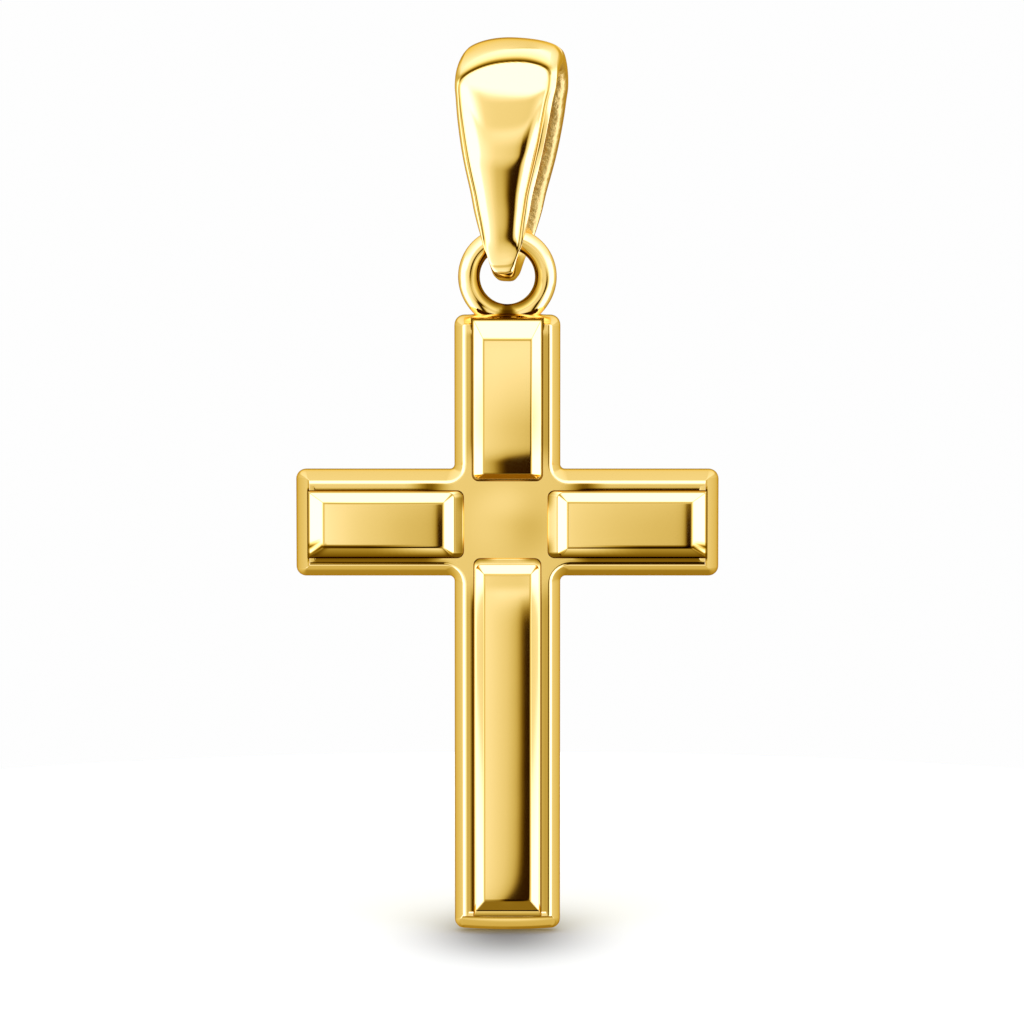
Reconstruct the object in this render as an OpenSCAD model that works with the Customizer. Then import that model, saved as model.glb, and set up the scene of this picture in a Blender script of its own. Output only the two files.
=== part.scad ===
// Gold cross pendant: a cast cross with four raised bars, a ring soldered to its head,
// and a tapered bail that hangs on the ring. Millimetres, +Z up, the front faces -Y.
// The origin is the chain's seat, at the inside top of the bail.

/* [Cross plate] */
// Height of the cross from foot to head
cross_h = 20.9; // [18:0.1:26]
// Width of the cross across its arms
cross_w = 14.4; // [12:0.1:18]
// Width of each arm
arm_w = 3.6; // [3.4:0.05:4.4]
// Length of the head above the middle of the crossing
head_l = 7.07; // [5.5:0.01:8.5]
// Thickness of the plate from its back to the crest of its rim
plate_t = 1.3; // [1.1:0.05:1.8]
// Radius of the outer corners, seen from the front
corner_r = 0.34; // [0.34:0.01:0.5]
// Radius of the four corners inside the crossing
notch_r = 0.16; // [0.1:0.01:0.4]
// Radius of the rounded rim at the front
rim_r = 0.32; // [0.2:0.01:0.33]
// Radius of the eased edge at the back
back_r = 0.26; // [0.1:0.01:0.32]

/* [Raised bars] */
// Width of each bar at its shoulder, across the arm
bar_w = 2.2; // [1.8:0.05:2.4]
// Rise of the bar's flat above the rim's crest
bar_rise = 0.34; // [0.15:0.01:0.6]
// Height of the shoulder above the rim's crest
shoulder_h = 0.06; // [0.02:0.01:0.12]
// Spread of the bar's foot beyond its shoulder
foot_spread = 0.05; // [0.01:0.01:0.1]
// Width of the bevel along the bar's two long sides
side_bevel = 0.35; // [0.2:0.01:0.6]
// Width of the bevel at the bar's outer end
end_bevel = 0.5; // [0.2:0.01:0.8]
// Width of the bevel at the bar's inner end
near_bevel = 0.3; // [0.1:0.01:0.6]
// Radius of the bar's corners next to the crossing
bar_r = 0.22; // [0.1:0.01:0.4]
// Distance of the head bar's shoulder from the end of the plate
head_margin = 0.2; // [0.15:0.01:0.8]
// Distance of the arm bars' shoulders from the ends of the plate
arm_margin = 0.48; // [0.3:0.01:0.8]
// Distance of the foot bar's shoulder from the end of the plate
foot_margin = 0.57; // [0.3:0.01:0.9]
// Distance of the head bar's shoulder from the middle of the crossing
head_start = 1.5; // [1.35:0.01:2]
// Distance of the arm bars' shoulders from the middle of the crossing
arm_start = 1.62; // [1.35:0.01:2]
// Distance of the foot bar's shoulder from the middle of the crossing
foot_start = 1.37; // [1.35:0.01:2]

/* [Channels beside the bars] */
// Radius of the round bottomed channel
channel_r = 0.16; // [0.1:0.01:0.2]
// Depth of the channel below the rim's crest
channel_d = 0.18; // [0.05:0.01:0.25]

/* [Ring] */
// Diameter of the ring's wire
ring_wire = 0.74; // [0.6:0.02:0.9]
// Diameter of the ring's hole
ring_hole = 1.87; // [1.86:0.01:2.6]
// Depth to which the wire is sunk and soldered into the head
ring_sink = 0.36; // [0.2:0.02:0.5]
// Width of the solder at the foot of the ring
solder_w = 2.7; // [2.4:0.05:3]
// Thickness of the solder from front to back
solder_t = 0.6; // [0.4:0.02:0.7]
// Height of the solder's fillet beside the ring
solder_h = 0.24; // [0.1:0.02:0.3]

/* [Bail] */
// Height of the bail from its tip to its crown
bail_h = 8.26; // [7.5:0.05:10]
// Width of the bail at its shoulders
bail_w = 3.44; // [3:0.05:4.2]
// Depth of the bail from front to back
bail_d = 3.2; // [2.9:0.05:3.6]
// Width of the bail's narrow tip
tip_w = 0.86; // [0.7:0.02:0.9]
// Thickness of the metal under the ring's wire
tip_wall = 1.05; // [0.9:0.01:1.1]
// Thickness of the metal over the chain's seat
crown_wall = 0.98; // [0.7:0.02:1.2]
// Depth of the opening at its widest place
slot_d = 1.72; // [1.3:0.02:1.9]
// Distance by which the opening sits nearer to the front leaf
slot_shift = 0.12; // [0:0.01:0.15]
// Turn of the bail on the ring, about the upright axis
bail_turn = 12.5; // [0:0.5:14]
// Lean of the bail to its right side
bail_lean = 1.7; // [0:0.1:2]

/* [Fit] */
// Gap between the wire and the metal under it
ring_gap = 0.05; // [0.03:0.01:0.1]
// Gap between the wire and the two leaves beside it
side_gap = 0.28; // [0.22:0.01:0.34]

/* [Hidden] */

half_t = plate_t / 2;
half_arm = arm_w / 2;
half_span = cross_w / 2;
foot_l = cross_h - head_l;
// Short straight pieces in each corner arc
arc_steps = 5;
// How far a bar is rooted in the plate, below its channels
root = 0.15;
// Radius of the corners that look sharp
sharp_r = 0.03;
// Heights of the plate's section, as degrees round its back and front edges
BACK_TURNS = [90:-30:0];
RIM_TURNS = [0:15:90];
// Distance of a channel's middle from the bar's foot, as a share of its radius
channel_offset = 0.6;

// The ring stands in the plane of the cross
ring_r = (ring_hole + ring_wire) / 2;
ring_z = head_l + ring_r + ring_wire / 2 - ring_sink;
wire_z = ring_z + ring_r;

// Heights in the bail, counted upwards from the middle of the ring's wire
tip_z = -ring_wire / 2 - ring_gap - tip_wall;
crown_z = tip_z + bail_h;
seat_z = crown_z - crown_wall;
leaf_z = -ring_wire / 2;
// Half of the opening beside the wire, and half of its widest place
seat_half = ring_wire / 2 + side_gap;
slot_half = slot_d / 2;
bail_half = bail_d / 2;

// The arms as rows of angle, end of the plate, margin at the end and start of the bar
ARMS = [
    [90, head_l, head_margin, head_start],
    [0, half_span, arm_margin, arm_start],
    [180, half_span, arm_margin, arm_start],
    [270, foot_l, foot_margin, foot_start]
];

// Outline corners, anticlockwise from the front: place, first angle of an outer corner's arc,
// and 1 for an outer corner or 0 for one inside the crossing
CORNERS = [
    [half_arm, -foot_l, 270, 1],
    [half_arm, -half_arm, 270, 0],
    [half_span, -half_arm, 270, 1],
    [half_span, half_arm, 0, 1],
    [half_arm, half_arm, 0, 0],
    [half_arm, head_l, 0, 1],
    [-half_arm, head_l, 90, 1],
    [-half_arm, half_arm, 90, 0],
    [-half_span, half_arm, 90, 1],
    [-half_span, -half_arm, 180, 1],
    [-half_arm, -half_arm, 180, 0],
    [-half_arm, -foot_l, 180, 1]
];

// The bail's leaf between its tip and its crown, from below, as shares: of the height from the
// wire to the seat, of half the outer depth, and of the opening's widening from wire to widest
LEAF = [
    [0.05, 0.64, 0.05],
    [0.14, 0.79, 0.22],
    [0.26, 0.91, 0.58],
    [0.38, 0.975, 0.88],
    [0.50, 1.0, 1.0],
    [0.62, 1.0, 0.86],
    [0.73, 0.99, 0.56]
];
// Widening of the bail from its tip to its shoulders, by height as a share of the bail's height
WIDENING = [
    [0, 0], [0.05, 0.03], [0.1, 0.11], [0.13, 0.18], [0.2, 0.28], [0.29, 0.41], [0.37, 0.5],
    [0.49, 0.675], [0.6, 0.81], [0.74, 0.945], [0.82, 1], [1, 1]
];
// Half depth of the tip where it meets the leaves, as a share of half the outer depth
tip_half = 0.53;
// The crown's bend: where it starts over the wire, and its half depth there, as shares
crown_start = 0.81;
crown_half = 0.98;
// The opening's rounded top: where it starts over the wire, and its half depth there, as shares
slot_top_start = 0.84;
slot_top_half = 0.66;
// Turns of the sections round the tip and round the crown, in degrees
TIP_TURNS = [-90:30:0];
CROWN_TURNS = [0:18:90];
// Points round each section of the band
section_steps = 24;
// How square a section's outer and inner side are, by height as a share of the bail's height:
// 1 is an ellipse, and less is squarer
OUTER_POWER = [[0, 1], [0.2, 0.9], [0.4, 0.72], [1, 0.66]];
INNER_POWER = [[0, 1], [0.25, 0.98], [0.45, 0.5], [1, 0.4]];

function turned(p, a) = [p[0] * cos(a) - p[1] * sin(a), p[0] * sin(a) + p[1] * cos(a)];

function arc(c, r, a0, a1) =
    [for (i = [0:arc_steps]) let (a = a0 + (a1 - a0) * i / arc_steps) c + r * [cos(a), sin(a)]];

// One corner of the outline, moved inwards: an outer arc shrinks and an inner one grows
function corner(k, inset) =
    let (p = [k[0], k[1]], away = [sign(k[0]), sign(k[1])], a = k[2])
    k[3] == 1
        ? arc(p - corner_r * away, corner_r - inset, a, a + 90)
        : arc(p + notch_r * away, notch_r + inset, a + 270, a + 180);

function outline(inset, y) =
    [for (k = CORNERS) for (p = corner(k, inset)) [p[0], y, p[1]]];

// A closed loop round a bar at depth y: u runs out along the arm, v across it
function bar_loop(angle, u0, u1, v, r0, r1, y) =
    [for (q = concat(
        arc([u0 + r0, -v + r0], r0, 180, 270),
        arc([u1 - r1, -v + r1], r1, 270, 360),
        arc([u1 - r1, v - r1], r1, 0, 90),
        arc([u0 + r0, v - r0], r0, 90, 180)))
        let (p = turned(q, angle)) [p[0], y, p[1]]];

// Quads between two neighbouring loops of n points
function band_faces(i, next, n) =
    [for (j = [0:n - 1]) [i * n + j, next * n + j, next * n + (j + 1) % n, i * n + (j + 1) % n]];

// A solid through loops of points, each end closed by a fan round a place (x, z) inside it
module skin(loops, mid) {
    n = len(loops[0]);
    m = len(loops);
    ends = [for (i = [0, m - 1]) [mid[0], loops[i][0][1], mid[1]]];
    polyhedron(
        concat([for (l = loops) for (p = l) p], ends),
        concat(
            [for (j = [0:n - 1]) [m * n, j, (j + 1) % n]],
            [for (i = [0:m - 2]) for (f = band_faces(i, i + 1, n)) f],
            [for (j = [0:n - 1]) [m * n + 1, (m - 1) * n + (j + 1) % n, (m - 1) * n + j]]),
        convexity = 6);
}

// The plate: its back edge eased and its front rim rounded over
module plate() {
    back = [for (a = BACK_TURNS) outline(back_r * (1 - cos(a)), half_t - back_r * (1 - sin(a)))];
    front = [for (a = RIM_TURNS) outline(rim_r * (1 - cos(a)), rim_r * (1 - sin(a)) - half_t)];
    skin(concat(back, front), [0, 0]);
}

// A bar with an upright foot, a shoulder and a bevel up to its flat
module bar(arm) {
    angle = arm[0];
    u0 = arm[3];
    u1 = arm[1] - arm[2];
    v = bar_w / 2;
    s = foot_spread;
    foot = [for (y = [channel_d + root, 0])
        bar_loop(angle, u0 - s, u1 + s, v + s, bar_r + s, sharp_r, y - half_t)];
    shoulder = bar_loop(angle, u0, u1, v, bar_r, sharp_r, -half_t - shoulder_h);
    flat_v = v - side_bevel;
    flat = bar_loop(angle, u0 + near_bevel, u1 - end_bevel, flat_v, sharp_r, sharp_r, -half_t - bar_rise);
    skin(concat(foot, [shoulder, flat]), turned([(u0 + u1) / 2, 0], angle));
}

// The two channels beside a bar, between its foot and the rim
module channels(arm) {
    u0 = half_arm + notch_r;
    u1 = arm[1] - max(arm[2], rim_r) - foot_spread;
    v = bar_w / 2 + foot_spread + channel_offset * channel_r;
    for (side = [-1, 1])
        rotate([0, -arm[0], 0]) translate([u0, channel_d - channel_r - half_t, side * v])
            rotate([0, 90, 0]) cylinder(h = u1 - u0, r = channel_r, $fn = 24);
}

// The solder at the foot of the ring: on each side a hollow fillet between the ring and the head
module solder() {
    inside = ring_r / 2;
    run = solder_w / 2 - inside;
    for (side = [0, 1])
        mirror([side, 0, 0]) translate([0, solder_t / 2, head_l]) rotate([90, 0, 0]) linear_extrude(solder_t)
            polygon(concat(
                [[inside, -root], [solder_w / 2, -root]],
                [for (a = [270:-22.5:180]) [solder_w / 2 + run / 2 * cos(a), solder_h * (1 + sin(a))]],
                [[inside, 0]]));
}

module ring() {
    translate([0, 0, ring_z]) rotate([90, 0, 0]) rotate_extrude($fn = 64)
        translate([ring_r, 0]) circle(d = ring_wire, $fn = 32);
}

// Hangs the cross on the bail: the wire goes where the leaning bail holds it
module hung() {
    rotate([0, bail_lean, 0]) translate([0, 0, -seat_z]) rotate([0, -bail_lean, 0])
        translate([0, 0, -wire_z]) children();
}

module cross() {
    color([0.95, 0.78, 0.38]) hung() union() {
        difference() {
            plate();
            for (arm = ARMS) channels(arm);
        }
        for (arm = ARMS) bar(arm);
        solder();
        ring();
    }
}

// Outer side of a leaf, as depth and height, from under the tip to the middle of the crown
function outer_side() =
    let (crown_low = crown_start * seat_z)
    concat(
        [for (a = TIP_TURNS) [tip_half * bail_half * cos(a), leaf_z + (leaf_z - tip_z) * sin(a)]],
        [for (r = LEAF) [r[1] * bail_half, r[0] * seat_z]],
        [for (a = CROWN_TURNS)
            [crown_half * bail_half * cos(a), crown_low + (crown_z - crown_low) * sin(a)]]);

// Inner side of a leaf: round under the wire, widening, then round at the chain's seat
function inner_side() =
    let (top_low = slot_top_start * seat_z)
    concat(
        [for (a = TIP_TURNS) [seat_half * cos(a), (ring_wire / 2 + ring_gap) * sin(a)]],
        [for (r = LEAF) [seat_half + r[2] * (slot_half - seat_half), r[0] * seat_z]],
        [for (a = CROWN_TURNS)
            [slot_top_half * slot_half * cos(a), top_low + (seat_z - top_low) * sin(a)]]);

function powered(x, p) = sign(x) * pow(abs(x), p);

// One section of the band, between a point of its inner side and one of its outer side
function section(p_in, p_out, side) =
    let (
        share = (p_out[1] - tip_z) / bail_h,
        half_w = (tip_w + (bail_w - tip_w) * lookup(share, WIDENING)) / 2,
        shift = slot_shift * sin(180 * max(0, min(1, p_in[1] / seat_z))),
        y_in = side * p_in[0] - shift,
        y_out = side * p_out[0])
    [for (k = [0:section_steps - 1]) let (
        a = 360 * k / section_steps,
        power = lookup(share, sin(a) > 0 ? OUTER_POWER : INNER_POWER),
        v = (1 + powered(sin(a), power)) / 2)
        [half_w * powered(cos(a), power), y_in + (y_out - y_in) * v, p_in[1] + (p_out[1] - p_in[1]) * v]];

// The bail: a band that runs up the front leaf, over the crown and down the back leaf
module bail() {
    outer = outer_side();
    inner = inner_side();
    top = len(outer) - 1;
    loops = concat(
        [for (i = [0:top]) section(inner[i], outer[i], -1)],
        [for (i = [top - 1:-1:1]) section(inner[i], outer[i], 1)]);
    m = len(loops);
    color([0.93, 0.76, 0.36])
        rotate([0, bail_lean, 0]) rotate([0, 0, -bail_turn]) translate([0, 0, -seat_z])
            polyhedron(
                [for (l = loops) for (p = l) p],
                [for (i = [0:m - 1]) for (f = band_faces(i, (i + 1) % m, section_steps)) f],
                convexity = 6);
}

cross();
bail();
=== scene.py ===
"""A gold cross pendant: a cast cross with four raised bars, its soldered ring, and the tapered bail
that hangs on the ring, in a white studio. Lengths are in millimetres until a mesh is made."""

import math

import bpy
import numpy as np
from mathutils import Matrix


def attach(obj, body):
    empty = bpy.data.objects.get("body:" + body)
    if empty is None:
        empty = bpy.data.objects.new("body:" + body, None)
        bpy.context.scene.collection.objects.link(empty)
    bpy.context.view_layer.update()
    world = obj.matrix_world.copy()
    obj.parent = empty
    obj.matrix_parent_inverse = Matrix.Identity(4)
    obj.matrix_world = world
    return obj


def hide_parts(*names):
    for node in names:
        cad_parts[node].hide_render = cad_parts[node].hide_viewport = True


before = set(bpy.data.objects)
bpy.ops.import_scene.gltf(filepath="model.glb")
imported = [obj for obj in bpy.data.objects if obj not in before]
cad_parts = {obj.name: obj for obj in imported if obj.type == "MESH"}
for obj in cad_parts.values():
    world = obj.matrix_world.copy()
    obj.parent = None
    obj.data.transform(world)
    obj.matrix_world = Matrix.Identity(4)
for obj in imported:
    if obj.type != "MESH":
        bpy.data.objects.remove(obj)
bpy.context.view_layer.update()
MM = 0.001


# Camera, floor and studio.
# The pendant stands on a white table in a tent of soft light, with white panels at both sides and
# above, a strip of black card a little right of the lens, and a dim room in front of the table.

LOOK_AT = (-0.016, 0.0, -15.14)
LOOK_DOWN = 5.5
LOOK_ANGLE = 10.0
SEEN_HEIGHT = 34.88
FLOOR_Z = -29.59
FLOOR_R = 45.0
PAPER_WHITE = 0.9
BACKDROP = (0.99, 0.99, 0.99)
# A contact shadow is painted into the paper's colour where the foot stands: a bell of SHADOW_DEPTH, which
# fades over these lengths across and forwards. The light is a little cold and the paper a little warm, so
# the table looks neutral
SHADOW_AT = (-0.1724, -0.8, FLOOR_Z)
SHADOW_SPREAD = (1.9, 3.4)
SHADOW_DEPTH = 0.70
PAPER_TINT = (1.0, 0.962, 0.70)
TABLE_SIDES = 96

# Brightness round the studio, as (degrees to the right of the lens, brightness), from low to high
LOW_LIGHT = [
    (-180, 0.66), (-100, 0.75), (-80, 1.3), (-60, 1.0), (-38, 0.5), (-22, 0.28), (30, 0.25), (45, 0.5),
    (62, 1.0), (80, 1.3), (100, 0.78), (180, 0.66)]
MIDDLE_LIGHT = [
    (-180, 0.35), (-150, 0.5), (-125, 0.72), (-104, 0.88), (-97, 1.0), (-89, 1.9), (-42, 1.9), (-34, 1.25),
    (-16, 1.1), (-8, 1.0), (0, 0.83), (4, 0.66), (6, 0.42), (7.5, 0.03), (19, 0.02), (22, 0.5), (27, 0.95),
    (37, 1.1), (44, 1.9), (89, 1.9), (97, 1.0), (104, 0.88), (125, 0.72), (150, 0.5), (180, 0.35)]
UPPER_LIGHT = [
    (-180, 0.45), (-150, 0.6), (-100, 0.95), (-96, 1.1), (-89, 1.9), (-45, 1.8), (-36, 1.2), (-20, 1.05),
    (-10, 1.05), (-3, 1.1), (8, 1.08), (14, 0.95), (30, 1.0), (40, 1.7), (89, 1.9), (96, 1.1), (100, 0.95),
    (150, 0.6), (180, 0.45)]
HIGH_LIGHT = [
    (-180, 0.45), (-150, 0.6), (-100, 0.95), (-89, 1.9), (-34, 1.9), (-24, 1.3), (-14, 0.97), (-4, 0.9),
    (6, 0.87), (18, 1.0), (30, 1.3), (40, 1.8), (89, 1.9), (100, 0.95), (150, 0.6), (180, 0.45)]
TOP_LIGHT = [
    (-180, 0.9), (-110, 1.1), (-75, 1.25), (-45, 1.5), (-25, 1.7), (25, 1.7), (45, 1.5), (75, 1.25),
    (110, 1.1), (180, 0.9)]
ZENITH_LIGHT = 0.9
NADIR_LIGHT = 1.05
# No light is brighter than this
FULL = 5.0
# Each light takes over from the last between these heights, in degrees above the horizon
MIDDLE_FROM = (-62.0, -57.0)
UPPER_FROM = (-6.0, 1.5)
HIGH_FROM = (0.5, 4.5)
TOP_FROM = (14.0, 28.0)
ZENITH_FROM = (83.0, 88.0)
NADIR_FROM = (-71.0, -79.0)
# The black card leans: between these heights it moves this many degrees to the left
LEAN_FROM = (-9.0, -16.0)
CARD_LEAN = 9.0
# Dim light is warm and bright light cold: green and blue go with these powers of the brightness, which
# counts up to COLDEST
GREEN_POWER = 0.28
BLUE_POWER = 1.75
COLDEST = 1.4


def wire(tree, source, socket):
    """Puts a number or another node's output on a socket."""
    if isinstance(source, (int, float)):
        socket.default_value = source
    else:
        tree.links.new(source, socket)


def math_node(tree, operation, *values):
    """A Math node's result; each value is a number or an output."""
    node = tree.nodes.new("ShaderNodeMath")
    node.operation = operation
    for socket, value in zip(node.inputs, values):
        wire(tree, value, socket)
    return node.outputs[0]


def eased_step(tree, value, low, high):
    """0 below low and 1 above high, with a smooth step between them."""
    node = tree.nodes.new("ShaderNodeMapRange")
    node.interpolation_type = "SMOOTHSTEP"
    for name, given in (("Value", value), ("From Min", low), ("From Max", high)):
        wire(tree, given, node.inputs[name])
    return node.outputs["Result"]


def blended(tree, share, first, second):
    """first where share is 0, second where it is 1."""
    node = tree.nodes.new("ShaderNodeMix")
    node.data_type = "FLOAT"
    for socket, given in zip(node.inputs[:1] + node.inputs[2:4], (share, first, second)):
        wire(tree, given, socket)
    return node.outputs[0]


def light_round(tree, turn, stops):
    """Brightness by the angle to the right of the lens, straight between the stops."""
    node = tree.nodes.new("ShaderNodeValToRGB")
    ramp = node.color_ramp
    for degrees, _ in stops[1:-1]:
        ramp.elements.new(degrees / 360 + 0.5)
    for element, (degrees, level) in zip(ramp.elements, stops):
        element.position = degrees / 360 + 0.5
        element.color = (level / FULL,) * 3 + (1,)
    tree.links.new(turn, node.inputs[0])
    return math_node(tree, "MULTIPLY", node.outputs[0], FULL)


down = math.radians(LOOK_DOWN)
far = SEEN_HEIGHT / 2 / math.tan(math.radians(LOOK_ANGLE / 2))
camera = bpy.data.objects.new("camera", bpy.data.cameras.new("camera"))
camera.data.angle = math.radians(LOOK_ANGLE)
camera.data.clip_start = 0.005
camera.data.clip_end = 10
lens_at = (LOOK_AT[0], LOOK_AT[1] - far * math.cos(down), LOOK_AT[2] + far * math.sin(down))
camera.location = [c * MM for c in lens_at]
camera.rotation_euler = (math.pi / 2 - down, 0, 0)
bpy.context.scene.collection.objects.link(camera)
bpy.context.scene.camera = camera
bpy.context.scene.view_settings.view_transform = "Standard"

world = bpy.data.worlds.new("studio")
world.use_nodes = True
bpy.context.scene.world = world
sky = world.node_tree
sky.nodes.clear()
way = sky.nodes.new("ShaderNodeSeparateXYZ")
sky.links.new(sky.nodes.new("ShaderNodeTexCoord").outputs["Generated"], way.inputs[0])
turn = math_node(sky, "ARCTAN2", way.outputs["X"], math_node(sky, "MULTIPLY", way.outputs["Y"], -1.0))
turn = math_node(sky, "ADD", math_node(sky, "DIVIDE", turn, 2 * math.pi), 0.5)
rise = math_node(sky, "MULTIPLY", math_node(sky, "ARCSINE", way.outputs["Z"]), 180 / math.pi)
lean = math_node(sky, "MULTIPLY", eased_step(sky, rise, *LEAN_FROM), CARD_LEAN / 360)
leaning = math_node(sky, "ADD", turn, lean)
light = light_round(sky, turn, LOW_LIGHT)
for heights, round_turn, stops in [
        (MIDDLE_FROM, leaning, MIDDLE_LIGHT), (UPPER_FROM, turn, UPPER_LIGHT),
        (HIGH_FROM, turn, HIGH_LIGHT), (TOP_FROM, turn, TOP_LIGHT)]:
    light = blended(sky, eased_step(sky, rise, *heights), light, light_round(sky, round_turn, stops))
light = blended(sky, eased_step(sky, rise, *ZENITH_FROM), light, ZENITH_LIGHT)
light = blended(sky, eased_step(sky, rise, *NADIR_FROM), light, NADIR_LIGHT)
dim = math_node(sky, "MINIMUM", light, COLDEST)
tint = sky.nodes.new("ShaderNodeCombineColor")
wire(sky, light, tint.inputs[0])
wire(sky, math_node(sky, "MULTIPLY", light, math_node(sky, "POWER", dim, GREEN_POWER)), tint.inputs[1])
wire(sky, math_node(sky, "MULTIPLY", light, math_node(sky, "POWER", dim, BLUE_POWER)), tint.inputs[2])
lit = sky.nodes.new("ShaderNodeBackground")
sky.links.new(tint.outputs[0], lit.inputs["Color"])
backdrop = sky.nodes.new("ShaderNodeBackground")
backdrop.inputs["Color"].default_value = (*BACKDROP, 1)
seen = sky.nodes.new("ShaderNodeMixShader")
sky.links.new(sky.nodes.new("ShaderNodeLightPath").outputs["Is Camera Ray"], seen.inputs[0])
sky.links.new(lit.outputs[0], seen.inputs[1])
sky.links.new(backdrop.outputs[0], seen.inputs[2])
sky.links.new(seen.outputs[0], sky.nodes.new("ShaderNodeOutputWorld").inputs["Surface"])

paper = bpy.data.materials.new("white_table")
paper.use_nodes = True
paper_tree = paper.node_tree
paper_face = paper_tree.nodes["Principled BSDF"]
# Painted contact shadow: the paper's colour darkens in a bell round SHADOW_AT
from_foot = paper_tree.nodes.new("ShaderNodeVectorMath")
from_foot.operation = "SUBTRACT"
from_foot.inputs[1].default_value = [c * MM for c in SHADOW_AT]
paper_tree.links.new(paper_tree.nodes.new("ShaderNodeTexCoord").outputs["Object"], from_foot.inputs[0])
spread = paper_tree.nodes.new("ShaderNodeVectorMath")
spread.operation = "DIVIDE"
spread.inputs[1].default_value = [c * MM * math.sqrt(2) for c in SHADOW_SPREAD] + [1]
paper_tree.links.new(from_foot.outputs[0], spread.inputs[0])
squared = paper_tree.nodes.new("ShaderNodeVectorMath")
squared.operation = "DOT_PRODUCT"
paper_tree.links.new(spread.outputs[0], squared.inputs[0])
paper_tree.links.new(spread.outputs[0], squared.inputs[1])
fading_out = math_node(paper_tree, "MULTIPLY", squared.outputs["Value"], -1.0)
shade = math_node(paper_tree, "POWER", math.e, fading_out)
white = math_node(paper_tree, "MULTIPLY_ADD", shade, -SHADOW_DEPTH * PAPER_WHITE, PAPER_WHITE)
warm = paper_tree.nodes.new("ShaderNodeVectorMath")
warm.operation = "SCALE"
warm.inputs[0].default_value = PAPER_TINT
wire(paper_tree, white, warm.inputs["Scale"])
paper_tree.links.new(warm.outputs[0], paper_face.inputs["Base Color"])
paper_face.inputs["Roughness"].default_value = 1.0
paper_face.inputs["Specular IOR Level"].default_value = 0.0
floor_mesh = bpy.data.meshes.new("table")
edge_turn = np.linspace(0, 2 * np.pi, TABLE_SIDES + 1)[:-1]
edge = [FLOOR_R * np.cos(edge_turn), FLOOR_R * np.sin(edge_turn), np.full(TABLE_SIDES, FLOOR_Z)]
floor_mesh.from_pydata(np.stack(edge, 1) * MM, [], [tuple(range(TABLE_SIDES))])
floor_mesh.materials.append(paper)
floor = bpy.data.objects.new("table", floor_mesh)
floor.visible_glossy = False  # the gold mirrors the studio alone
bpy.context.scene.collection.objects.link(floor)


# The cross.
# One casting in yellow gold: a plate with a rounded rim, and a raised, bevelled bar on each arm.
# Its hollows are worked out of the wax before casting, and its faces are polished like a mirror.

# Half thickness of the plate, half width of the upright, the arms' upper and lower edge, half their span,
# the upright's ends, and how round the outer corners, the notches and the back's edge are
HALF_T = 0.65
HALF_ARM = 1.8
ARM_TOP = 1.81
ARM_LOW = 1.85
HALF_SPAN = 7.2
HEAD = 7.07
FOOT = 13.99
CORNER_R = 0.34
NOTCH_R = 0.16
BACK_R = 0.26
# Where the crossing's middle is, and how many points an arc and a straight edge have
CROSS_AT = (-0.1724, 0.0, -15.497)
ARC = 9
ALONG = 28

# Outline corners, anticlockwise from the front: place, first angle of an outer corner's arc, and
# whether the corner is an outer one or one inside the crossing
CORNERS = np.array([
    [HALF_ARM, -FOOT, 270, 1], [HALF_ARM, -ARM_LOW, 270, 0], [HALF_SPAN, -ARM_LOW, 270, 1],
    [HALF_SPAN, ARM_TOP, 0, 1], [HALF_ARM, ARM_TOP, 0, 0], [HALF_ARM, HEAD, 0, 1],
    [-HALF_ARM, HEAD, 90, 1], [-HALF_ARM, ARM_TOP, 90, 0], [-HALF_SPAN, ARM_TOP, 90, 1],
    [-HALF_SPAN, -ARM_LOW, 180, 1], [-HALF_ARM, -ARM_LOW, 180, 0], [-HALF_ARM, -FOOT, 180, 1]])
# Width of the rim's sloping band on each of the twelve edges, from the foot's right side onwards,
# and the four edges at the ends, where the band runs straight up to the bar
BAND = np.array([0.27, 0.42, 0.46, 0.31, 0.27, 0.26, 0.27, 0.31, 0.46, 0.42, 0.27, 0.53])
AT_END = np.array([0, 0, 1, 0, 0, 1, 0, 0, 1, 0, 0, 1])
# How much painted shade lies across each edge's channel
EDGE_SHADE = np.array([0.4, 0.8, 0, 0, 0.4, 0, 0.1, 0, 0, 0.8, 0.1, 0])
# The band is an arc over the first BAND_ARC of its width, from upright to the first of these two turns in
# degrees, then it bends to the second in BEND_STEPS steps. It is BAND_DEEPEST deep at most
BAND_TURNS = (64.0, 54.0)
BAND_ARC = 0.2
BEND_STEPS = 5
BAND_DEEPEST = 0.98
# The crest is an arc that starts at the band's last turn and ends at CREST_END degrees, CREST_D lower
CREST_R = 0.19
CREST_END = -3.0
CREST_D = CREST_R * (1 - math.cos(math.radians(BAND_TURNS[1])))
# The channel ends this far inside the outline, and is this deep
CHANNEL_END = 0.70
CHANNEL_D = 0.015
# It deepens from here on, counted from the crossing's middle, over this length. It ends this far from an
# arm's end, where it rises again over this length
CHANNEL_FROM = 1.75
CHANNEL_EASE = 1.1
CHANNEL_STOP = 0.52
STOP_EASE = 0.16
# The foot's end bows outwards, from this far above it
FOOT_BOW = 0.07
BOW_FROM = 1.2
# A low seat of solder lifts the head's edge under the ring: its rise, its half width, how far it reaches
# inwards and over which part of that it rises
SOLDER_RISE = 0.09
SOLDER_HALF = 1.05
SOLDER_IN = 0.3
SOLDER_EASE = 0.25


def smooth(x):
    """0 below 0, 1 above 1, and 3x² - 2x³ between."""
    x = np.clip(x, 0, 1)
    return x * x * (3 - 2 * x)


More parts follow.
